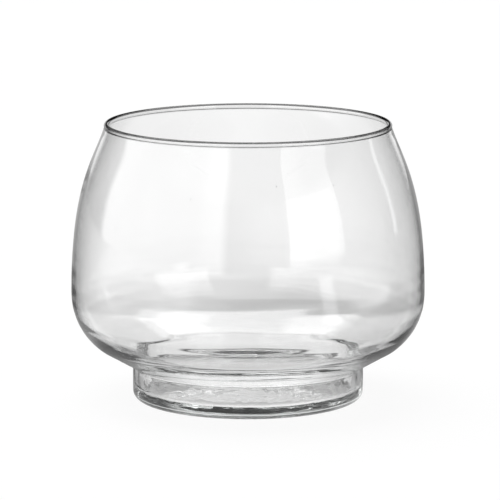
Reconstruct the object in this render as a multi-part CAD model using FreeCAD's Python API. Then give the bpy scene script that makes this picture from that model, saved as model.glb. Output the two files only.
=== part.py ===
import FreeCAD, Part
import math
import os

# Rose bowl vase in clear glass: a round blown bowl on a short hollow foot.
# Lengths are in millimetres and angles in degrees. The axis is +Z and the foot stands on z = 0.
# Every outline is drawn in the XZ half plane and turned round the axis.

# Outer form
overall_height = 150.0
body_diameter = 190.5
belly_height = 58.1             # height of the widest ring
mouth_diameter = 154.5          # over the outside of the lip
foot_diameter = 124.5
foot_height = 18.4              # up to the crease under the bowl
underside_angle = 29.7          # rise of the bowl's underside from level
underside_run = 21.0            # straight stretch of the underside, along its slope
crease_radius = 1.5             # inside corner between foot and underside
heel_radius = 4.5               # outside corner between foot wall and table

# Fullness of the two curves that meet at the belly, as shares of the height that each one spans
shoulder_belly_share = 0.66
shoulder_lip_share = 0.19
flank_belly_share = 0.65
flank_underside_share = 0.07

# Lip: a fire polished bead on a wall that leans inwards
lip_bead_diameter = 3.0
lip_lean_angle = 17.2           # wall's lean from upright just under the bead
lip_join_angle = 30.0           # where the outer wall meets the bead, below its middle

# Glass thickness
lip_wall = 1.7
belly_wall = 1.8
underside_wall = 3.0            # where the underside's straight stretch begins
throat_wall = 4.5               # over the crease, where the bowl runs into the foot
foot_wall = 6.2
base_thickness = 6.0

# Inside corners
throat_radius = 3.0             # the bowl's inside turns down into the foot
well_radius = 2.5               # the foot's wall turns into its floor

# Underside of the foot
rest_ring_width = 1.4           # flat ring that touches the table
base_recess = 1.4               # height of the hollow under the base at its middle

# The two pieces meet face to face on a level ring inside the foot's height
seam_share = 0.8

body_radius = body_diameter / 2
foot_radius = foot_diameter / 2
bore_radius = foot_radius - foot_wall
bead_radius = lip_bead_diameter / 2
seam_height = foot_height * seam_share


def spot(radius, height):
    """Point of an outline at a radius from the axis and a height."""
    return FreeCAD.Vector(radius, 0, height)


def heading(angle):
    """Unit direction in the outline's plane, turned up from level and outwards."""
    slope = math.radians(angle)
    return FreeCAD.Vector(math.cos(slope), 0, math.sin(slope))


def line(start, end):
    return Part.LineSegment(start, end).toShape()


def curve(*poles):
    """Smooth Bezier curve that leaves and arrives along its outer poles."""
    bezier = Part.BezierCurve()
    bezier.setPoles(list(poles))
    return bezier.toShape()


def arc(centre, radius, first, last):
    """Arc about a centre between two headings, through the one midway."""
    start = centre + heading(first) * radius
    middle = centre + heading((first + last) / 2) * radius
    end = centre + heading(last) * radius
    return Part.Arc(start, middle, end).toShape()


def crossing(point, slope, radius):
    """Height at which a sloping line through a point crosses an upright line at a radius."""
    return point.z + (radius - point.x) * math.tan(math.radians(slope))


def turned(edges):
    """Solid swept once round the axis by a closed outline."""
    wire = Part.Wire(Part.__sortEdges__(edges))
    face = Part.Face(wire)
    return face.revolve(FreeCAD.Vector(), FreeCAD.Vector(0, 0, 1), 360)


# The bead stands at the top, tangent to the mouth's outside and to the overall height.
bead_centre = spot(mouth_diameter / 2 - bead_radius, overall_height - bead_radius)
lip_heading = heading(90 + lip_lean_angle)
inward_at_lip = heading(180 + lip_lean_angle)


def inner_lip_point(outer_point):
    """Where the wall's inside, one lip wall in from the outside, runs into the bead from below."""
    beside = outer_point + inward_at_lip * lip_wall
    offset = beside - bead_centre
    along = offset.dot(lip_heading)
    across = offset.Length ** 2 - bead_radius ** 2
    return beside + lip_heading * (-along - math.sqrt(along ** 2 - across))


def shoulder(belly_point, lip_point):
    """Upper curve of the bowl, upright at the belly and leaning in at the lip."""
    rise = lip_point.z - belly_point.z
    above_belly = belly_point + FreeCAD.Vector(0, 0, rise * shoulder_belly_share)
    below_lip = lip_point - lip_heading * (rise * shoulder_lip_share)
    return curve(belly_point, above_belly, below_lip, lip_point)


def flank(belly_point, underside_point, slope):
    """Lower curve of the bowl, from upright at the belly into the underside's slope."""
    drop = belly_point.z - underside_point.z
    below_belly = belly_point - FreeCAD.Vector(0, 0, drop * flank_belly_share)
    beyond_underside = underside_point + heading(slope) * (drop * flank_underside_share)
    return curve(belly_point, below_belly, beyond_underside, underside_point)


def bend(underside_point, slope, radius, corner_radius):
    """Underside line, rounded corner and upright wall down to the seam, at a wall radius."""
    corner = spot(radius, crossing(underside_point, slope, radius))
    turn = 90 - slope
    reach = corner_radius * math.tan(math.radians(turn / 2))
    on_slope = corner + heading(slope) * reach
    on_wall = corner - FreeCAD.Vector(0, 0, reach)
    centre = on_wall + FreeCAD.Vector(corner_radius, 0, 0)
    return [
        line(underside_point, on_slope),
        arc(centre, corner_radius, 90 + slope, 180),
        line(on_wall, spot(radius, seam_height)),
    ]


def make_bowl():
    """Blown bowl: the wall with its fire polished lip, down to the seam round the throat."""
    lip_outer = bead_centre + heading(-lip_join_angle) * bead_radius
    lip_inner = inner_lip_point(lip_outer)
    belly_outer = spot(body_radius, belly_height)
    belly_inner = spot(body_radius - belly_wall, belly_height)

    # Outside: crease, straight underside and flank
    crease = spot(foot_radius, foot_height)
    underside_outer = crease + heading(underside_angle) * underside_run

    # Inside: the glass thickens from the underside's outer end to the throat
    upright_to_slope = heading(underside_angle + 90)
    underside_inner = underside_outer + upright_to_slope * underside_wall
    throat = crease + upright_to_slope * throat_wall
    fall = underside_inner - throat
    inner_angle = math.degrees(math.atan2(fall.z, fall.x))

    # The bead runs from the outer wall over the top to the inner wall
    offset = lip_inner - bead_centre
    inner_end_angle = math.degrees(math.atan2(offset.z, offset.x)) + 360
    bead = arc(bead_centre, bead_radius, -lip_join_angle, inner_end_angle)

    edges = [shoulder(belly_outer, lip_outer), bead, shoulder(belly_inner, lip_inner)]
    edges.append(flank(belly_outer, underside_outer, underside_angle))
    edges.append(flank(belly_inner, underside_inner, inner_angle))
    edges += bend(underside_outer, underside_angle, foot_radius, crease_radius)
    edges += bend(underside_inner, inner_angle, bore_radius, throat_radius)
    edges.append(line(spot(foot_radius, seam_height), spot(bore_radius, seam_height)))
    return turned(edges)


def make_foot():
    """Hollow foot: upright wall, rounded heel, resting ring and a base hollowed underneath."""
    ring_outer = foot_radius - heel_radius
    ring_inner = ring_outer - rest_ring_width
    floor_radius = bore_radius - well_radius
    dome_radius = (ring_inner ** 2 + base_recess ** 2) / (2 * base_recess)
    dome_centre = spot(0, base_recess - dome_radius)
    dome_edge_angle = math.degrees(math.atan2(-dome_centre.z, ring_inner))

    edges = [
        line(spot(foot_radius, seam_height), spot(foot_radius, heel_radius)),
        arc(spot(ring_outer, heel_radius), heel_radius, 0, -90),
        line(spot(ring_outer, 0), spot(ring_inner, 0)),
        arc(dome_centre, dome_radius, dome_edge_angle, 90),
        line(spot(0, base_recess), spot(0, base_thickness)),
        line(spot(0, base_thickness), spot(floor_radius, base_thickness)),
        arc(spot(floor_radius, base_thickness + well_radius), well_radius, -90, 0),
        line(spot(bore_radius, base_thickness + well_radius), spot(bore_radius, seam_height)),
        line(spot(bore_radius, seam_height), spot(foot_radius, seam_height)),
    ]
    return turned(edges)


os.makedirs("parts", exist_ok=True)
pieces = {"bowl": make_bowl(), "foot": make_foot()}
for name, shape in pieces.items():
    shape.exportStep("parts/" + name + ".step")
    box = shape.optimalBoundingBox()
    print(name, "valid", shape.isValid(), "solids", len(shape.Solids), "volume", round(shape.Volume, 1))
    print("  width", round(box.XLength, 3), "from", round(box.ZMin, 3), "to", round(box.ZMax, 3))
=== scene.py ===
# %% [markdown]
# A rose bowl vase in clear glass.
# This lesson dresses one free-standing vase: a round blown bowl with a wide mouth, on a short
# hollow foot. The construction model fixes its size and place, and everything here is made
# round it. Glass has almost no colour of its own, so most of the work lies in three things:
# a wall of the right thickness everywhere, the small waves that blowing leaves in it, and a
# studio for it to bend and mirror.

import math

import bpy
import numpy as np
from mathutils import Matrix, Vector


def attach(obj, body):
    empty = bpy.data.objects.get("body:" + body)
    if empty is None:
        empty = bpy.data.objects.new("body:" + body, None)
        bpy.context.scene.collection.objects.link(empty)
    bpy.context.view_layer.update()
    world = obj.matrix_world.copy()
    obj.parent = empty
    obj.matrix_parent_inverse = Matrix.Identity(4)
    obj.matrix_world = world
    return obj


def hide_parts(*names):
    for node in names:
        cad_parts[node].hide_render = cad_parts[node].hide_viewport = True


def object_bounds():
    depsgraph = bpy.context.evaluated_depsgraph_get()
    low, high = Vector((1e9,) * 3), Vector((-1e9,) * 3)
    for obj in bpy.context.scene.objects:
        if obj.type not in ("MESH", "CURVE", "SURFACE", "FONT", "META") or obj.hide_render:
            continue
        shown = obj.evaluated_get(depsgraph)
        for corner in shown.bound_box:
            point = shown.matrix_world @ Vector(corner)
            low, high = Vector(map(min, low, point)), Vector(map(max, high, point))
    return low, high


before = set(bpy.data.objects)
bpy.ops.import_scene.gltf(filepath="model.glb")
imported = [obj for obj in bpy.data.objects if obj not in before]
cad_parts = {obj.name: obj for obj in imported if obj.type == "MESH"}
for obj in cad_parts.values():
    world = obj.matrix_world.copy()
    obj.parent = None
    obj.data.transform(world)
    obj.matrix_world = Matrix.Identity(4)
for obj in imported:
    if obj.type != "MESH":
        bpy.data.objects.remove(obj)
cad_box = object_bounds()
cad_low, cad_high = cad_box
print("construction box, metres:", [round(c, 4) for c in cad_low], [round(c, 4) for c in cad_high])

# %% [markdown]
# The camera stands two metres off and looks down on the vase by about ten degrees, with a long
# lens. That keeps the mouth a slim ellipse and the walls nearly upright. The vase's axis stands
# two pixels left of the picture's middle, which a small lens shift gives.

# %% Set the camera
picture_width = 500
axis_column = 248
focal_pixels = 3779
camera_distance = 2.0053
camera_height = 0.4299
camera_pitch = 9.885
sensor_width = 36.0

scene = bpy.context.scene
camera_data = bpy.data.cameras.new("camera")
camera = bpy.data.objects.new("camera", camera_data)
scene.collection.objects.link(camera)
camera.location = (0, -camera_distance, camera_height)
camera.rotation_euler = (math.radians(90 - camera_pitch), 0, 0)
camera_data.sensor_width = sensor_width
camera_data.lens = sensor_width * focal_pixels / picture_width
camera_data.shift_x = (picture_width / 2 - axis_column) / picture_width
scene.camera = camera
print("lens", round(camera_data.lens, 1), "mm")

# %% [markdown]
# The construction model is two solids, bowl and foot, that meet face to face. In real glass
# nothing marks that seam: light would be mirrored at it if it were there. So the shown glass is
# one closed skin, outside and inside together, with the same sizes as the construction. The
# sizes are in millimetres, and one factor from the loaded model turns them into metres.

# %% Sizes of the glass
overall_height = 150.0
body_diameter = 190.5
belly_height = 58.1
mouth_diameter = 154.5
foot_diameter = 124.5
foot_height = 18.4
underside_angle = 29.7
underside_run = 21.0
crease_radius = 1.5
heel_radius = 4.5
shoulder_belly_share = 0.66
shoulder_lip_share = 0.19
flank_belly_share = 0.65
flank_underside_share = 0.07
lip_bead_diameter = 3.0
lip_lean_angle = 17.2
lip_join_angle = 30.0
lip_wall = 1.7
belly_wall = 1.8
underside_wall = 3.0
throat_wall = 4.5
foot_wall = 6.2
base_thickness = 6.0
throat_radius = 3.0
well_radius = 2.5
rest_ring_width = 1.4
base_recess = 1.4

# how many points each stretch of the profile gets before they are spread anew
shoulder_points = 160
flank_points = 90
slope_points = 50
crease_points = 16
wall_points = 40
dome_points = 60
ring_points = 6
heel_points = 30
bead_points = 60
well_points = 24
floor_points = 40

body_radius = body_diameter / 2
foot_radius = foot_diameter / 2
bore_radius = foot_radius - foot_wall
bead_radius = lip_bead_diameter / 2
millimetre = (cad_high.x - cad_low.x) / body_diameter
print("metres to a millimetre", millimetre)

# %% [markdown]
# A turned form is a profile carried round an axis. The profile could be typed in as a list of
# points, but a list hides how the shape was thought out and can't follow a change. Here it is a
# chain of lines, arcs and Bezier curves in the half plane of radius and height, as a glass
# maker's mould drawing would be, and numpy works out the points.

# %% Parts that a profile is drawn with
def heading(angle):
    """Unit direction in the half plane, in degrees up from level and outwards."""
    return np.array([math.cos(math.radians(angle)), math.sin(math.radians(angle))])


def line(start, end, count):
    """Points evenly spread from start to end."""
    share = np.linspace(0, 1, count)[:, None]
    return start + (end - start) * share


def arc(centre, radius, first, last, count):
    """Points on a circle: the centre plus the radius times the heading, from first to last."""
    turn = np.radians(np.linspace(first, last, count))[:, None]
    return centre + radius * np.hstack([np.cos(turn), np.sin(turn)])


def bezier(start, leave, arrive, end, count):
    """Cubic Bezier curve: its four poles weighed by the cubic Bernstein terms."""
    t = np.linspace(0, 1, count)[:, None]
    s = 1 - t
    return s ** 3 * start + 3 * s ** 2 * t * leave + 3 * s * t ** 2 * arrive + t ** 3 * end


def shoulder(belly, lip):
    """Upper wall, upright at the belly and leaning in at the lip."""
    rise = lip[1] - belly[1]
    above_belly = belly + heading(90) * rise * shoulder_belly_share
    below_lip = lip - heading(90 + lip_lean_angle) * rise * shoulder_lip_share
    return bezier(belly, above_belly, below_lip, lip, shoulder_points)


def flank(belly, underside, slope):
    """Lower wall, from upright at the belly into the underside's slope."""
    drop = belly[1] - underside[1]
    below_belly = belly - heading(90) * drop * flank_belly_share
    beyond_underside = underside + heading(slope) * drop * flank_underside_share
    return bezier(belly, below_belly, beyond_underside, underside, flank_points)


def bend(underside, slope, radius, corner_radius, foot_end):
    """Underside's slope, a rounded corner and the upright wall of the foot."""
    corner_height = underside[1] + (radius - underside[0]) * math.tan(math.radians(slope))
    corner = np.array([radius, corner_height])
    reach = corner_radius * math.tan(math.radians((90 - slope) / 2))
    on_slope = corner + heading(slope) * reach
    on_wall = corner - heading(90) * reach
    centre = on_wall + heading(0) * corner_radius
    return np.concatenate([
        line(underside, on_slope, slope_points),
        arc(centre, corner_radius, 90 + slope, 180, crease_points)[1:],
        line(on_wall, np.array([radius, foot_end]), wall_points)[1:],
    ])


print("drawing parts: line, arc, bezier, shoulder, flank, bend")

# %% [markdown]
# The skin starts at the middle of the underside, runs out over the hollow base, the resting
# ring and the heel, up the foot, round the bowl to the lip, over the fire polished bead, and
# comes down inside to the middle of the well's floor. Points are then spread anew along it:
# evenly on the long walls, and closer where the glass turns sharply.

# %% Draw the whole profile
doubled_point = 1e-6


def whole_profile():
    """The closed section of the glass, from the axis underneath to the axis inside."""
    bead = np.array([mouth_diameter / 2 - bead_radius, overall_height - bead_radius])
    lip_outer = bead + heading(-lip_join_angle) * bead_radius
    beside = lip_outer + heading(180 + lip_lean_angle) * lip_wall
    along = (beside - bead) @ heading(90 + lip_lean_angle)
    across = (beside - bead) @ (beside - bead) - bead_radius ** 2
    lip_inner = beside + heading(90 + lip_lean_angle) * (-along - math.sqrt(along ** 2 - across))
    inner_end = math.degrees(math.atan2(lip_inner[1] - bead[1], lip_inner[0] - bead[0])) + 360

    crease = np.array([foot_radius, foot_height])
    underside_outer = crease + heading(underside_angle) * underside_run
    to_inside = heading(underside_angle + 90)
    underside_inner = underside_outer + to_inside * underside_wall
    throat = crease + to_inside * throat_wall
    fall = underside_inner - throat
    inner_angle = math.degrees(math.atan2(fall[1], fall[0]))

    belly_outer = np.array([body_radius, belly_height])
    belly_inner = np.array([body_radius - belly_wall, belly_height])
    ring_outer = foot_radius - heel_radius
    ring_inner = ring_outer - rest_ring_width
    dome_radius = (ring_inner ** 2 + base_recess ** 2) / (2 * base_recess)
    dome_centre = np.array([0, base_recess - dome_radius])
    dome_edge = math.degrees(math.atan2(-dome_centre[1], ring_inner))
    floor_edge = np.array([bore_radius - well_radius, base_thickness])
    well_centre = floor_edge + heading(90) * well_radius
    well_top = well_centre[1]

    stretches = [
        arc(dome_centre, dome_radius, 90, dome_edge, dome_points),
        line(np.array([ring_inner, 0]), np.array([ring_outer, 0]), ring_points),
        arc(np.array([ring_outer, heel_radius]), heel_radius, -90, 0, heel_points),
        bend(underside_outer, underside_angle, foot_radius, crease_radius, heel_radius)[::-1],
        flank(belly_outer, underside_outer, underside_angle)[::-1],
        shoulder(belly_outer, lip_outer),
        arc(bead, bead_radius, -lip_join_angle, inner_end, bead_points),
        shoulder(belly_inner, lip_inner)[::-1],
        flank(belly_inner, underside_inner, inner_angle),
        bend(underside_inner, inner_angle, bore_radius, throat_radius, well_top),
        arc(well_centre, well_radius, 0, -90, well_points),
        line(floor_edge, np.array([0, base_thickness]), floor_points),
    ]
    points = np.concatenate(stretches)
    steps = np.linalg.norm(np.diff(points, axis=0), axis=1)
    return points[np.concatenate([[True], steps > doubled_point])]


def spread_anew(points, count, turn_weight):
    """New points along the outline, spaced by length plus a weight times the angle turned."""
    steps = np.diff(points, axis=0)
    lengths = np.linalg.norm(steps, axis=1)
    angles = np.unwrap(np.arctan2(steps[:, 1], steps[:, 0]))
    turned = np.abs(np.diff(angles, append=angles[-1]))
    cost = np.concatenate([[0], np.cumsum(lengths + turn_weight * turned)])
    wanted = np.linspace(0, cost[-1], count)
    radius = np.interp(wanted, cost, points[:, 0])
    height = np.interp(wanted, cost, points[:, 1])
    return np.stack([radius, height], axis=1)


rows_along = 310
columns_round = 300
millimetres_for_a_radian = 6.0
profile = spread_anew(whole_profile(), rows_along, millimetres_for_a_radian)
profile[0, 0] = 0
profile[-1, 0] = 0
run = np.concatenate([[0], np.cumsum(np.linalg.norm(np.diff(profile, axis=0), axis=1))])
print("profile length", round(run[-1], 1), "mm in", rows_along, "points")

# %% [markdown]
# Blown glass is never quite even. The gather sags and is turned while it cools, so the wall
# carries long, low swells, and on the lower bowl finer bands that run round it. They stay under
# a tenth of a millimetre each. One can't see them as shape, but everything seen through them is
# drawn out and smeared. Noise made of random bumps looks like hammered metal, so the
# waves are sums of cosines with whole numbers of waves round the axis, which close on
# themselves, and the outside only ever goes inwards, so that the vase keeps its size.

# %% Waves in the glass
wave_seed = 7
wave_choice = np.random.default_rng(wave_seed)
angle_round = np.linspace(0, 2 * np.pi, columns_round, endpoint=False)


def waves(count, fewest_round, most_round, shortest, longest):
    """Sum of cosines of (m times the angle + the run over a wavelength + a phase), scaled to 1."""
    total = np.zeros((rows_along, columns_round))
    for _ in range(count):
        around = wave_choice.integers(fewest_round, most_round + 1)
        along = 2 * np.pi / wave_choice.uniform(shortest, longest) * wave_choice.choice([-1, 1])
        phase = wave_choice.uniform(0, 2 * np.pi)
        total += np.cos(around * angle_round[None, :] + along * run[:, None] + phase)
    return total / np.abs(total).max()


def gate(values, start, end):
    """Smooth step: 0 before start, 1 after end, with the slope 3t² - 2t³ gives between."""
    t = np.clip((values - start) / (end - start), 0, 1)
    return t * t * (3 - 2 * t)


long_swell = 0.07
band_height = 0.05
foot_dimple = 0.035
ring_height = 0.03
swell_waves = {"count": 14, "fewest_round": 1, "most_round": 7, "shortest": 30.0, "longest": 90.0}
band_waves = {"count": 30, "fewest_round": 1, "most_round": 5, "shortest": 3.5, "longest": 11.0}
dimple_waves = {"count": 40, "fewest_round": 8, "most_round": 32, "shortest": 6.0, "longest": 14.0}
base_waves = {"count": 12, "fewest_round": 0, "most_round": 2, "shortest": 5.0, "longest": 14.0}
bands_higher_up = 0.25

# millimetres between which each kind of wave fades in or out
fade_below_lip = (2.5, 14.0)
fade_above_crease = (foot_height, foot_height + 8.0)
fade_above_heel = (5.0, 9.0)
fade_over_belly = (52.0, 88.0)
fade_in_from_bore = (2.0, 8.0)
highest_in_base = 12.0
fade_below_highest = (0.0, 2.0)

height_of_row = profile[:, 1]
radius_of_row = profile[:, 0]
lip_row = int(np.argmax(height_of_row))
outside_row = np.arange(rows_along) <= lip_row

clear_of_lip = gate(overall_height - height_of_row, *fade_below_lip)
on_bowl = gate(height_of_row, *fade_above_crease)
on_foot = (1 - on_bowl) * gate(height_of_row, *fade_above_heel)
low_on_bowl = on_bowl * (1 - gate(height_of_row, *fade_over_belly))

on_bands = low_on_bowl + bands_higher_up * on_bowl * clear_of_lip
swells = waves(**swell_waves) * (clear_of_lip * on_bowl)[:, None] * long_swell
bands = waves(**band_waves) * on_bands[:, None] * band_height
dimples = waves(**dimple_waves) * on_foot[:, None] * foot_dimple
inside_bore = gate(bore_radius - radius_of_row, *fade_in_from_bore)
under_bowl = inside_bore * gate(highest_in_base - height_of_row, *fade_below_highest)
rings_in_base = waves(**base_waves) * under_bowl[:, None] * ring_height
depth = swells + bands + dimples + rings_in_base
deepest_outward = depth.max(axis=1, keepdims=True)
depth = np.where(outside_row[:, None], depth - deepest_outward, depth)
print("waves from", round(depth.min(), 3), "to", round(depth.max(), 3), "mm")

# %% [markdown]
# The skin itself is a grid: rows follow the profile and columns go round. Each point is moved
# along the profile's own normal by the depth of the waves. The first and last rows lie on the
# axis, so each is a single point with a fan of triangles, and the mesh is closed and has no
# seam. Smooth shading matters more than usual, because glass bends light by its normals.

# %% Turn the profile into a closed skin
def turned_skin(outline, offset):
    """Points at radius and height of the outline, moved along its normal, carried round the axis."""
    tangent = np.gradient(outline, axis=0)
    tangent /= np.linalg.norm(tangent, axis=1, keepdims=True)
    outward = np.stack([tangent[:, 1], -tangent[:, 0]], axis=1)
    radius = outline[:, :1] + outward[:, :1] * offset
    height = outline[:, 1:] + outward[:, 1:] * offset
    x = radius * np.cos(angle_round)
    y = radius * np.sin(angle_round)
    return np.stack([x, y, height], axis=2)


def skin_faces(rows, columns):
    """Quads between neighbouring rows, and a fan of triangles at each end."""
    column = np.arange(columns)
    following = (column + 1) % columns
    row_start = (1 + np.arange(rows - 1) * columns)[:, None]
    quads = np.stack([row_start + column, row_start + following,
                      row_start + columns + following, row_start + columns + column], axis=2)
    last_ring = 1 + (rows - 1) * columns
    end_point = 1 + rows * columns
    low_fan = np.stack([np.zeros(columns, int), 1 + following, 1 + column], axis=1)
    high_fan = np.stack([last_ring + column, last_ring + following,
                         np.full(columns, end_point)], axis=1)
    return quads.reshape(-1, 4), np.concatenate([low_fan, high_fan])


def make_mesh(name, points, quads, triangles):
    """Puts arrays of points, quads and triangles into a new mesh, shaded smooth."""
    mesh = bpy.data.meshes.new(name)
    mesh.vertices.add(len(points))
    mesh.vertices.foreach_set("co", points.ravel())
    corners = np.concatenate([quads.ravel(), triangles.ravel()])
    mesh.loops.add(len(corners))
    mesh.loops.foreach_set("vertex_index", corners)
    quad_starts = np.arange(len(quads)) * 4
    triangle_starts = len(quads) * 4 + np.arange(len(triangles)) * 3
    starts = np.concatenate([quad_starts, triangle_starts])
    mesh.polygons.add(len(starts))
    mesh.polygons.foreach_set("loop_start", starts)
    mesh.polygons.foreach_set("use_smooth", np.ones(len(starts), bool))
    mesh.update(calc_edges=True)
    mesh.validate()
    return mesh


grid = turned_skin(profile, depth)
rings = grid[1:-1].reshape(-1, 3)
low_pole = np.array([[0, 0, profile[0, 1]]])
high_pole = np.array([[0, 0, profile[-1, 1]]])
skin_points = np.concatenate([low_pole, rings, high_pole]) * millimetre
quads, fans = skin_faces(rows_along - 2, columns_round)
glass_mesh = make_mesh("vase_glass", skin_points, quads, fans)
vase_glass = bpy.data.objects.new("vase_glass", glass_mesh)
scene.collection.objects.link(vase_glass)
print("vase_glass:", len(quads) * 2 + len(fans), "triangles")

# %% Check that the skin faces outwards
first, second, third, fourth = (skin_points[quads[:, corner]] for corner in range(4))
six_volumes = np.einsum("ij,ij->i", first, np.cross(second, third))
six_volumes += np.einsum("ij,ij->i", first, np.cross(third, fourth))
glass_volume = six_volumes.sum() / 6
print("glass volume", round(glass_volume * 1e6, 1), "cubic centimetres, positive when it faces outwards")

# %% [markdown]
# Clear glass needs hardly any colour. What makes it look real is the right bending (an index of
# 1.52 for soda lime glass), a faint grey green that only builds up along long paths through the
# foot and the heel, and small faults: the skin that a cold mould leaves on the foot, hair-fine
# settle lines under the bowl, and a resting ring that is scuffed by tables. The colour is
# absorbed in the volume, so thin walls stay clear and thick parts tint by themselves. The crown
# of the lip is the one painted place: it is nearly black at glancing angles. A real rim gathers
# the dark of a room into a thin line, and this studio's own lights leave that line too pale.

# %% Helpers for node materials
def maths(tree, operation, first_value, second_value=0.0):
    """One Math node; a number is typed in and a socket is linked."""
    node = tree.nodes.new("ShaderNodeMath")
    node.operation = operation
    for place, value in enumerate((first_value, second_value)):
        if isinstance(value, (int, float)):
            node.inputs[place].default_value = value
        else:
            tree.links.new(value, node.inputs[place])
    return node.outputs[0]


def fade(tree, value, start, end, before, after):
    """Smooth change from one level to another while a value goes from start to end."""
    node = tree.nodes.new("ShaderNodeMapRange")
    node.interpolation_type = "SMOOTHSTEP"
    tree.links.new(value, node.inputs["Value"])
    node.inputs["From Min"].default_value = start
    node.inputs["From Max"].default_value = end
    node.inputs["To Min"].default_value = before
    node.inputs["To Max"].default_value = after
    return node.outputs["Result"]


def noise(tree, vector, scale, detail):
    """Fractal noise from 0 to 1 at a number of features to the metre."""
    node = tree.nodes.new("ShaderNodeTexNoise")
    tree.links.new(vector, node.inputs["Vector"])
    node.inputs["Scale"].default_value = scale
    node.inputs["Detail"].default_value = detail
    return node.outputs["Fac"]


print("node helpers: maths, fade, noise")

# %% Clear glass
refraction_index = 1.52
tint = (0.70, 0.80, 0.76, 1.0)
tint_density = 2.0
polish_roughness = 0.004
film_roughness = 0.014
scuff_roughness = 0.30
chill_cells = 170.0
chill_strength = 0.75
chill_distance = 0.0004
chill_wobble = 0.006
chill_wobbles = 120.0
line_strength = 0.5
line_distance = 0.00005
lines_across = 9.0
lines_upward = 260.0
film_patches = 28.0
scratch_grain = 900.0
# darkest share of the painted shade on the lip's crown, a dark line painted into the glass
painted_lip_shade_strength = 0.95
film_levels = (0.45, 0.75)
film_detail = 3.0
scratch_levels = (0.35, 0.6)
scratch_detail = 2.0
least_scuffed = 0.3
chill_end_share = 0.9
line_detail = 4.0
lines_left = 0.15
# Layer Weight's Facing at which the painted shade on the lip's crown starts and is full, and its share
# face on
turning_away = (0.02, 0.15)
face_on_share = 0.3
# metres below the crown at which the painted shade on the lip starts and is full
painted_lip_shade_depths = (0.0013, 0.0008)
# metres above the table: where the scuffs end, and where the settle lines begin and thin out
scuff_heights = (0.00004, 0.0005)
lines_begin = (0.022, 0.030)
lines_thin_out = (0.045, 0.085)
# metres inside and outside the bore's wall, between which the chilled skin begins
bore_margins = (0.001, 0.002)


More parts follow.
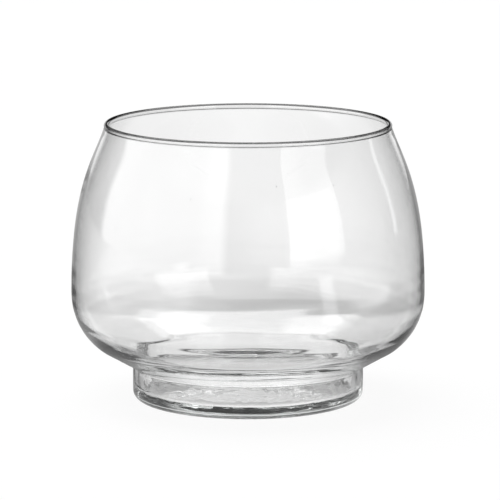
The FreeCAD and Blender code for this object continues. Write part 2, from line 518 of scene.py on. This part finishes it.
def clear_glass():
    """Polished glass with a chilled foot, settle lines on the flank, a scuffed resting ring and painted
    shade on the lip's crown.
    """
    material = bpy.data.materials.new("clear_glass")
    material.use_nodes = True
    tree = material.node_tree
    shader = tree.nodes["Principled BSDF"]
    output = tree.nodes["Material Output"]
    shader.inputs["IOR"].default_value = refraction_index
    shader.inputs["Transmission Weight"].default_value = 1.0

    place = tree.nodes.new("ShaderNodeTexCoord").outputs["Object"]
    split = tree.nodes.new("ShaderNodeSeparateXYZ")
    tree.links.new(place, split.inputs[0])
    height = split.outputs["Z"]

    # Painted shade: the base colour darkens on the crown of the lip, most at glancing angles, as the dark
    # line a real rim mirrors.
    crown = overall_height * millimetre
    shade_starts, shade_full = (crown - depth for depth in painted_lip_shade_depths)
    on_crown = fade(tree, height, shade_starts, shade_full, 0.0, painted_lip_shade_strength)
    turned_away = tree.nodes.new("ShaderNodeLayerWeight").outputs["Facing"]
    glancing = fade(tree, turned_away, *turning_away, face_on_share, 1.0)
    painted_lip_shade = maths(tree, "MULTIPLY", on_crown, glancing)
    tree.links.new(maths(tree, "SUBTRACT", 1.0, painted_lip_shade), shader.inputs["Base Color"])

    patches = noise(tree, place, film_patches, film_detail)
    film = fade(tree, patches, *film_levels, polish_roughness, film_roughness)
    scratches = noise(tree, place, scratch_grain, scratch_detail)
    scuff_edge = fade(tree, height, *scuff_heights, scuff_roughness, 0.0)
    scratched = fade(tree, scratches, *scratch_levels, least_scuffed, 1.0)
    scuffs = maths(tree, "MULTIPLY", scuff_edge, scratched)
    tree.links.new(maths(tree, "ADD", film, scuffs), shader.inputs["Roughness"])

    cells = tree.nodes.new("ShaderNodeTexVoronoi")
    cells.feature = "SMOOTH_F1"
    cells.inputs["Scale"].default_value = chill_cells
    warped = tree.nodes.new("ShaderNodeVectorMath")
    warped.operation = "ADD"
    wobble = tree.nodes.new("ShaderNodeTexNoise")
    wobble.inputs["Scale"].default_value = chill_wobbles
    shrink = tree.nodes.new("ShaderNodeVectorMath")
    shrink.operation = "SCALE"
    shrink.inputs["Scale"].default_value = chill_wobble
    tree.links.new(place, wobble.inputs["Vector"])
    tree.links.new(wobble.outputs["Color"], shrink.inputs[0])
    tree.links.new(place, warped.inputs[0])
    tree.links.new(shrink.outputs[0], warped.inputs[1])
    tree.links.new(warped.outputs[0], cells.inputs["Vector"])
    heel = heel_radius * millimetre
    crease = foot_height * millimetre
    above_heel = fade(tree, height, heel, 2 * heel, 0.0, 1.0)
    under_crease = fade(tree, height, chill_end_share * crease, crease, 1.0, 0.0)
    on_foot_only = maths(tree, "MULTIPLY", above_heel, under_crease)
    flat_place = tree.nodes.new("ShaderNodeVectorMath")
    flat_place.operation = "MULTIPLY"
    flat_place.inputs[1].default_value = (1.0, 1.0, 0.0)
    tree.links.new(place, flat_place.inputs[0])
    from_axis = tree.nodes.new("ShaderNodeVectorMath")
    from_axis.operation = "LENGTH"
    tree.links.new(flat_place.outputs[0], from_axis.inputs[0])
    bore = bore_radius * millimetre
    within, beyond = bore_margins
    on_wall_only = fade(tree, from_axis.outputs["Value"], bore - within, bore + beyond, 0.0, 1.0)
    chill_mask = maths(tree, "MULTIPLY", on_foot_only, on_wall_only)
    chill_height = maths(tree, "MULTIPLY", cells.outputs["Distance"], chill_mask)

    stretched = tree.nodes.new("ShaderNodeMapping")
    stretched.inputs["Scale"].default_value = (lines_across, lines_across, lines_upward)
    tree.links.new(place, stretched.inputs["Vector"])
    past_foot_top = fade(tree, height, *lines_begin, 0.0, 1.0)
    fading_up = fade(tree, height, *lines_thin_out, 1.0, lines_left)
    line_mask = maths(tree, "MULTIPLY", past_foot_top, fading_up)
    streaks = noise(tree, stretched.outputs[0], 1.0, line_detail)
    lines = maths(tree, "MULTIPLY", streaks, line_mask)

    chill = tree.nodes.new("ShaderNodeBump")
    chill.inputs["Strength"].default_value = chill_strength
    chill.inputs["Distance"].default_value = chill_distance
    tree.links.new(chill_height, chill.inputs["Height"])
    settle = tree.nodes.new("ShaderNodeBump")
    settle.inputs["Strength"].default_value = line_strength
    settle.inputs["Distance"].default_value = line_distance
    tree.links.new(lines, settle.inputs["Height"])
    tree.links.new(chill.outputs[0], settle.inputs["Normal"])
    tree.links.new(settle.outputs[0], shader.inputs["Normal"])

    body_tint = tree.nodes.new("ShaderNodeVolumeAbsorption")
    body_tint.inputs["Color"].default_value = tint
    body_tint.inputs["Density"].default_value = tint_density
    tree.links.new(body_tint.outputs[0], output.inputs["Volume"])
    return material


glass = clear_glass()
glass_mesh.materials.append(glass)
for node_name in ("bowl", "foot"):
    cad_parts[node_name].data.materials.clear()
    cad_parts[node_name].data.materials.append(glass)
print("clear_glass:", len(glass.node_tree.nodes), "nodes")

# %% [markdown]
# Seeds are tiny air bubbles that the melt didn't give up. This vase has a handful. Each is a
# small sphere buried in the wall, a little drawn out along it. They are far smaller than the
# wall is thick, so few faces are enough, and they sit midway between inside and outside.

# %% Seeds in the wall
# azimuth in degrees and height in millimetres of each
seed_places = ((-118.0, 96.0), (-20.0, 121.0), (10.0, 128.0), (60.0, 122.0), (-62.0, 74.0), (148.0, 104.0))
seed_diameter = 0.5
seed_stretch = 1.6
seed_rows = 6
seed_columns = 10


def wall_middle(height):
    """Radius halfway between the outside and the inside of the wall at a height."""
    outer = np.interp(height, height_of_row[belly_row:lip_row], radius_of_row[belly_row:lip_row])
    inner_heights = height_of_row[lip_row:][::-1]
    inner_radii = radius_of_row[lip_row:][::-1]
    above_belly = inner_heights > belly_height
    inner = np.interp(height, inner_heights[above_belly], inner_radii[above_belly])
    return (outer + inner) / 2


def seed_skin(azimuth, height, size):
    """Sphere of a diameter, drawn out upwards, at an azimuth and height within the wall."""
    polar = np.linspace(0, np.pi, seed_rows + 2)[1:-1, None]
    around = np.linspace(0, 2 * np.pi, seed_columns, endpoint=False)[None, :]
    x = np.sin(polar) * np.cos(around)
    y = np.sin(polar) * np.sin(around)
    z = np.broadcast_to(-np.cos(polar), x.shape)
    ball = np.stack([x, y, z], axis=2).reshape(-1, 3)
    ball = np.concatenate([[[0, 0, -1]], ball, [[0, 0, 1]]]) * np.array([1, 1, seed_stretch]) * size / 2
    turn = math.radians(azimuth)
    middle = wall_middle(height)
    centre = np.array([middle * math.sin(turn), -middle * math.cos(turn), height])
    return ball + centre


belly_row = int(np.argmax(radius_of_row))
seed_quads, seed_fans = skin_faces(seed_rows, seed_columns)
seed_points = np.concatenate([seed_skin(a, h, seed_diameter) for a, h in seed_places]) * millimetre
points_each = seed_rows * seed_columns + 2
shift = (np.arange(len(seed_places)) * points_each)[:, None, None]
all_quads = (seed_quads[None] + shift).reshape(-1, 4)
all_fans = (seed_fans[None] + shift).reshape(-1, 3)
seed_mesh = make_mesh("seeds", seed_points, all_quads, all_fans)
seeds = bpy.data.objects.new("seeds", seed_mesh)
scene.collection.objects.link(seeds)
seed_mesh.materials.append(glass)
print("seeds:", len(seed_places), "bubbles of", seed_diameter, "mm")

# %% [markdown]
# Clear glass shows its surroundings twice: bent, by rays that go straight through, and
# mirrored, by rays that bounce off one of its skins. In a studio the photographer controls
# both: a white sweep behind the vase, dark space above it, and soft lights to the sides.
# The Light Path node tells the two kinds of ray apart, so the world can give each its own
# surroundings. Rays from the camera itself see plain white. The places and levels below were
# found by fitting light to this photograph and then set in rounder numbers, so they
# suit its reflections and no others.

# %% Helpers for the studio
def by_kind_of_ray(tree, seen_through, mirrored):
    """White for camera rays, one level for rays bent by glass, another for mirrored ones."""
    path = tree.nodes.new("ShaderNodeLightPath")
    bounced = maths(tree, "GREATER_THAN", path.outputs["Glossy Depth"], 0.5)
    inner = tree.nodes.new("ShaderNodeMix")
    tree.links.new(bounced, inner.inputs["Factor"])
    tree.links.new(seen_through, inner.inputs["A"])
    tree.links.new(mirrored, inner.inputs["B"])
    outer = tree.nodes.new("ShaderNodeMix")
    tree.links.new(path.outputs["Is Camera Ray"], outer.inputs["Factor"])
    tree.links.new(inner.outputs["Result"], outer.inputs["A"])
    outer.inputs["B"].default_value = 1.0
    return outer.outputs["Result"]


def window(tree, value, low, high, edge):
    """1 while a value is between low and high, with an edge that fades."""
    opening = fade(tree, value, low - edge, low, 0.0, 1.0)
    closing = fade(tree, value, high, high + edge, 1.0, 0.0)
    return maths(tree, "MULTIPLY", opening, closing)


def graded(tree, value, low, high, stops):
    """Level that runs smoothly through stops, each a place between low and high and a level."""
    brightest = max(level for _, level in stops)
    share = tree.nodes.new("ShaderNodeMapRange")
    share.inputs["From Min"].default_value = low
    share.inputs["From Max"].default_value = high
    tree.links.new(value, share.inputs["Value"])
    ramp = tree.nodes.new("ShaderNodeValToRGB")
    ramp.color_ramp.interpolation = "EASE"
    tree.links.new(share.outputs["Result"], ramp.inputs["Fac"])
    elements = ramp.color_ramp.elements
    while len(elements) < len(stops):
        elements.new(0.5)
    for element, (stop, level) in zip(elements, stops):
        element.position = (stop - low) / (high - low)
        grey = level / brightest
        element.color = (grey, grey, grey, 1.0)
    return maths(tree, "MULTIPLY", ramp.outputs["Color"], brightest)


def azimuth_of(tree, direction):
    """Degrees round the axis from the camera's side, positive towards the vase's right."""
    split = tree.nodes.new("ShaderNodeSeparateXYZ")
    tree.links.new(direction, split.inputs[0])
    towards_camera = maths(tree, "MULTIPLY", split.outputs["Y"], -1.0)
    turn = maths(tree, "ARCTAN2", split.outputs["X"], towards_camera)
    return maths(tree, "MULTIPLY", turn, 180 / math.pi), split.outputs["Z"]


def soft_light(tree, azimuth, elevation, light):
    """A soft patch between two azimuths and two elevations, in degrees, with faded edges."""
    left, right, side_edge, low, high, level_edge, level = light
    across = window(tree, azimuth, left, right, side_edge)
    upward = window(tree, elevation, low, high, level_edge)
    return maths(tree, "MULTIPLY", maths(tree, "MULTIPLY", across, upward), level)


print("studio helpers: by_kind_of_ray, window, graded, azimuth_of, soft_light")

# %% [markdown]
# Each soft light is a patch of sky: from one azimuth to another and from one elevation to
# another, in degrees, with the width of its faded edge after each pair, and its level last.
# Azimuth 0 is the camera's side and goes up towards the vase's right. A wide softbox stands to
# the left and a narrower one, with a brighter core low down, to the right. A fill behind the
# camera lifts the middle, a thin strip far to the right draws a line down the bowl's flank, and
# a weak patch hangs high on the right. The two lights after the list are the same on both
# sides: a panel overhead beyond the vase, and the foot of the lit backdrop.

# %% The world round the vase
# left and right, their edge, low and high, their edge, level
soft_lights = (
    (-110.0, -20.0, 8.0, -4.0, 36.0, 8.0, 1.68),
    (28.5, 66.0, 1.5, 3.0, 42.0, 3.0, 1.12),
    (30.0, 60.0, 6.0, -2.0, 24.0, 3.0, 0.64),
    (-24.0, 34.0, 14.0, -4.0, 60.0, 12.0, 0.384),
    (114.0, 117.0, 1.0, -6.0, 18.0, 4.0, 1.04),
    (60.0, 120.0, 20.0, 50.0, 78.0, 12.0, 0.64),
)
overhead_panel = (136.0, 200.0, 14.0, 46.0, 67.0, 5.0, 2.88)
backdrop_foot = (156.0, 200.0, 10.0, -20.0, 5.0, 3.0, 0.88)
room_level = 0.024
sweep_level = 0.8
sweep_darkest = 0.048
sweep_bends = (18.0, 40.0)


def studio_world():
    """Bent rays see a sweep that darkens upwards; mirrored rays see soft lights in a dim room."""
    world = bpy.data.worlds.new("studio")
    world.use_nodes = True
    tree = world.node_tree
    tree.nodes.clear()
    output = tree.nodes.new("ShaderNodeOutputWorld")
    background = tree.nodes.new("ShaderNodeBackground")
    background.inputs["Color"].default_value = (1.0, 1.0, 1.0, 1.0)
    tree.links.new(background.outputs[0], output.inputs["Surface"])
    direction = tree.nodes.new("ShaderNodeTexCoord").outputs["Generated"]
    azimuth, upward = azimuth_of(tree, direction)
    elevation = maths(tree, "MULTIPLY", maths(tree, "ARCSINE", upward), 180 / math.pi)

    sweep = fade(tree, elevation, *sweep_bends, sweep_level, sweep_darkest)
    total = room_level
    for light in soft_lights:
        total = maths(tree, "ADD", soft_light(tree, azimuth, elevation, light), total)
    both_sides = maths(tree, "ABSOLUTE", azimuth)
    for light in (overhead_panel, backdrop_foot):
        total = maths(tree, "ADD", total, soft_light(tree, both_sides, elevation, light))
    tree.links.new(by_kind_of_ray(tree, sweep, total), background.inputs["Strength"])
    return world


scene.world = studio_world()
print("world:", len(scene.world.node_tree.nodes), "nodes")

# %% [markdown]
# To the camera the floor is white, with a faint soft shadow under the foot. What the glass finds
# there is a stand-in, fitted to the photograph as the lights were, and no real table looks like
# it. Rays bent by the glass find levels that change with distance, a thin ring of painted shadow
# at the foot's edge, and a painted sheen: a little less light where they meet the floor steeply,
# as a gloss would give.
# Mirrored rays find it bright before the vase and to the left, and dim to the right and behind,
# in four rings: close to the vase, midway, distant and towards the horizon. The distant ring has
# one bright patch, for the highlight at the lower right of the bowl. The shadow that the camera
# sees comes from a small share of diffuse white that only camera rays see; the rest is glow.

# %% The floor
floor_half_width = 6.0
shadow_share = 0.06
foot_edge = foot_radius * millimetre
foot_margin = 0.003
# painted sheen: past the foot, bent rays meeting the floor steeply get this share of the level, rising to
# all of it as Facing goes between the two values below
steep_share = 0.88
graze_starts = 0.30
graze_full = 0.72

# metres from the axis and level, for rays bent by the glass; the fall to 0.02 just past the foot's edge is
# a painted shadow
seen_by_distance = (
    (0.0, 0.72), (foot_edge - 0.002, 0.72), (foot_edge, 0.02), (foot_edge + 0.003, 0.02),
    (foot_edge + 0.005, 0.76), (0.13, 0.86), (0.18, 0.82), (0.22, 0.60), (0.28, 0.76),
    (0.38, 0.88), (0.60, 0.94),
)

# azimuth and level, for mirrored rays
mirrored_close = (
    (-180, 0.02), (-150, 0.05), (-120, 0.35), (-70, 0.62), (-30, 0.85), (30, 0.90), (70, 0.65),
    (120, 0.35), (150, 0.05), (180, 0.02),
)
mirrored_midway = (
    (-180, 0.50), (-135, 0.50), (-80, 1.40), (-20, 1.10), (20, 0.40), (100, 0.40), (140, 0.55),
    (180, 0.50),
)
mirrored_distant = (
    (-180, 0.60), (-135, 0.16), (-80, 1.90), (-40, 1.90), (-28, 0.90), (20, 0.20), (43, 0.15),
    (47, 1.70), (52, 1.70), (56, 0.15), (100, 0.08), (140, 0.14), (180, 0.50),
)
mirrored_horizon = (
    (-180, 0.60), (-135, 0.16), (-80, 1.90), (-40, 1.90), (-28, 0.90), (20, 0.20), (45, 0.15),
    (100, 0.08), (140, 0.14), (180, 0.50),
)

# metres from the axis between which one ring passes into the next
midway_from = (0.10, 0.14)
distant_from = (0.22, 0.30)
horizon_from = (1.60, 2.20)
farthest_graded = 0.8


def pale_floor():
    """Glow plus a share of diffuse white for the camera; rings and sides for the glass."""
    material = bpy.data.materials.new("pale_floor")
    material.use_nodes = True
    tree = material.node_tree
    tree.nodes.clear()
    output = tree.nodes.new("ShaderNodeOutputMaterial")
    glow = tree.nodes.new("ShaderNodeEmission")
    matte = tree.nodes.new("ShaderNodeBsdfDiffuse")
    glow.inputs["Color"].default_value = (1.0, 1.0, 1.0, 1.0)
    blend = tree.nodes.new("ShaderNodeMixShader")
    matte.inputs["Color"].default_value = (1.0, 1.0, 1.0, 1.0)
    place = tree.nodes.new("ShaderNodeTexCoord").outputs["Object"]
    length = tree.nodes.new("ShaderNodeVectorMath")
    length.operation = "LENGTH"
    tree.links.new(place, length.inputs[0])
    away = length.outputs["Value"]
    azimuth, _ = azimuth_of(tree, place)

    # Painted sheen: bent rays that meet the floor steeply past the foot find less glow, as a gloss would
    # give.
    facing = tree.nodes.new("ShaderNodeLayerWeight").outputs["Facing"]
    painted_sheen = fade(tree, facing, graze_starts, graze_full, steep_share, 1.0)
    past_foot = fade(tree, away, foot_edge - foot_margin, foot_edge + foot_margin, 0.0, 1.0)
    painted_sheen_loss = maths(tree, "MULTIPLY", past_foot, maths(tree, "SUBTRACT", 1.0, painted_sheen))
    through = graded(tree, away, 0.0, farthest_graded, seen_by_distance)
    through = maths(tree, "MULTIPLY", through, maths(tree, "SUBTRACT", 1.0, painted_sheen_loss))

    close = graded(tree, azimuth, -180, 180, mirrored_close)
    midway = graded(tree, azimuth, -180, 180, mirrored_midway)
    distant = graded(tree, azimuth, -180, 180, mirrored_distant)
    horizon = graded(tree, azimuth, -180, 180, mirrored_horizon)
    mirrored = close
    for level, passing in ((midway, midway_from), (distant, distant_from), (horizon, horizon_from)):
        step = tree.nodes.new("ShaderNodeMix")
        tree.links.new(fade(tree, away, *passing, 0.0, 1.0), step.inputs["Factor"])
        tree.links.new(mirrored, step.inputs["A"])
        tree.links.new(level, step.inputs["B"])
        mirrored = step.outputs["Result"]
    tree.links.new(by_kind_of_ray(tree, through, mirrored), glow.inputs["Strength"])
    path = tree.nodes.new("ShaderNodeLightPath")
    share = maths(tree, "MULTIPLY", path.outputs["Is Camera Ray"], shadow_share)
    tree.links.new(share, blend.inputs[0])
    tree.links.new(glow.outputs[0], blend.inputs[1])
    tree.links.new(matte.outputs[0], blend.inputs[2])
    tree.links.new(blend.outputs[0], output.inputs["Surface"])
    return material


floor_mesh = bpy.data.meshes.new("floor")
corner_signs = ((-1, -1), (1, -1), (1, 1), (-1, 1))
floor_corners = [(floor_half_width * x, floor_half_width * y, 0) for x, y in corner_signs]
floor_mesh.from_pydata(floor_corners, [], [(0, 1, 2, 3)])
floor_mesh.materials.append(pale_floor())
floor = bpy.data.objects.new("floor", floor_mesh)
scene.collection.objects.link(floor)
print("floor", 2 * floor_half_width, "m square")

# %% [markdown]
# One soft lamp from above lights the floor for its shadow, at the level where white paint
# renders as white all over the floor, which a distant lamp gives and a near one doesn't. The
# lamp is hidden from the glass: its place in the mirror is taken by the world's soft lights.

# %% The lamp
lamp_width = 50
lamp_strength = 2.9
lamp_height = 1.0
lean_forward = -12
lean_sideways = -10
lamp_data = bpy.data.lights.new("overhead_lamp", "SUN")
lamp_data.angle = math.radians(lamp_width)
lamp_data.energy = lamp_strength
lamp = bpy.data.objects.new("overhead_lamp", lamp_data)
lamp.location = (0, 0, lamp_height)
lamp.rotation_euler = (math.radians(lean_forward), math.radians(lean_sideways), 0)
lamp.visible_glossy = False
lamp.visible_transmission = False
scene.collection.objects.link(lamp)
print("lamp", lamp_strength)

# %% [markdown]
# A ray may cross eight skins of this vase, and be mirrored inside the foot many times more, so
# it needs more bounces than Blender gives it at first.

# %% Bounces
most_bounces = 24
most_mirrorings = 12
scene.cycles.max_bounces = most_bounces
scene.cycles.transmission_bounces = most_bounces
scene.cycles.glossy_bounces = most_mirrorings
scene.view_settings.view_transform = "Standard"
print("bounces", most_bounces)

# %% Tie the pieces to the construction
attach(vase_glass, "root")
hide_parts("bowl", "foot")
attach(seeds, "root")
